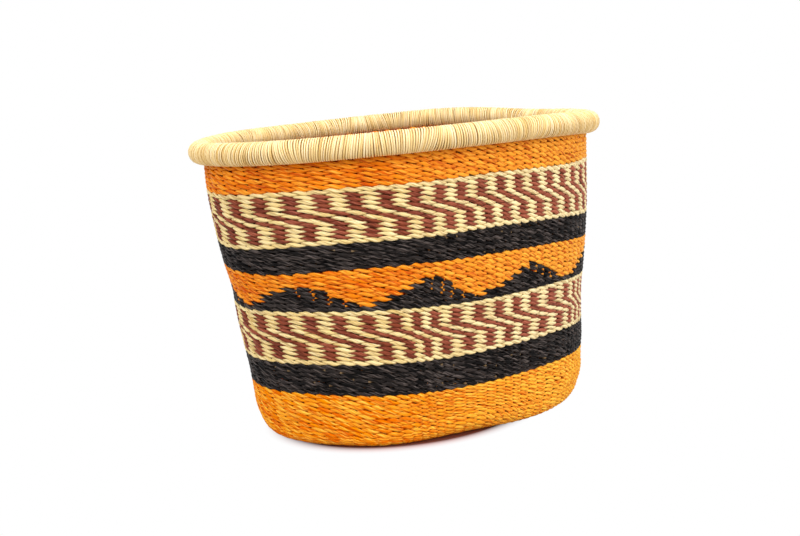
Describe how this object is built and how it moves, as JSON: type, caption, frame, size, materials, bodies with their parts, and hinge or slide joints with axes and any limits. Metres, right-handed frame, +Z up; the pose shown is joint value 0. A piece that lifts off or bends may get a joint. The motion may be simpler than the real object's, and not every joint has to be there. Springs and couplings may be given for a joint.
{
  "type": "bolga basket",
  "caption": "Oval twined-grass basket that tapers to a rounded foot, with colour bands, mountain and zigzag rows, a straw-bound rim, an open top and no handle.",
  "frame": {"origin": "middle of the flat underside of the base, on the surface that the basket stands on", "axes": "+X along the long side of the oval, +Y along the short side, +Z up through the mouth"},
  "size_m": [0.3176, 0.2278, 0.2407],
  "materials": {
    "orange_straw": "dyed grass, satin",
    "black_straw": "dyed grass, satin",
    "cream_straw": "natural pale grass with burgundy stitches",
    "natural_straw": "natural grass, satin",
    "core_straw": "natural grass bundle, dull"
  },
  "bodies": {
    "root": {"base_start": "natural_straw", "base_under_weft": "orange_straw", "base_floor_weft": "orange_straw", "turn_outer_weft": "orange_straw", "turn_inner_weft": "orange_straw", "lower_orange_outer_weft": "orange_straw", "lower_orange_inner_weft": "orange_straw", "lower_black_outer_weft": "black_straw", "lower_black_inner_weft": "black_straw", "lower_zigzag_outer_weft": "cream_straw", "lower_zigzag_inner_weft": "cream_straw", "mountain_peaks_outer_weft": "black_straw", "mountain_sky_outer_weft": "orange_straw", "mountain_inner_weft": "orange_straw", "upper_black_outer_weft": "black_straw", "upper_black_inner_weft": "black_straw", "upper_zigzag_outer_weft": "cream_straw", "upper_zigzag_inner_weft": "cream_straw", "upper_orange_outer_weft": "orange_straw", "upper_orange_inner_weft": "orange_straw", "stake_bunch_1": "natural_straw", "stake_bunch_2": "natural_straw", "stake_bunch_3": "natural_straw", "stake_bunch_4": "natural_straw", "stake_bunch_5": "natural_straw", "stake_bunch_6": "natural_straw", "stake_bunch_7": "natural_straw", "stake_bunch_8": "natural_straw", "rim_core": "core_straw", "rim_binding": "natural_straw"}
  },
  "joints": []
}
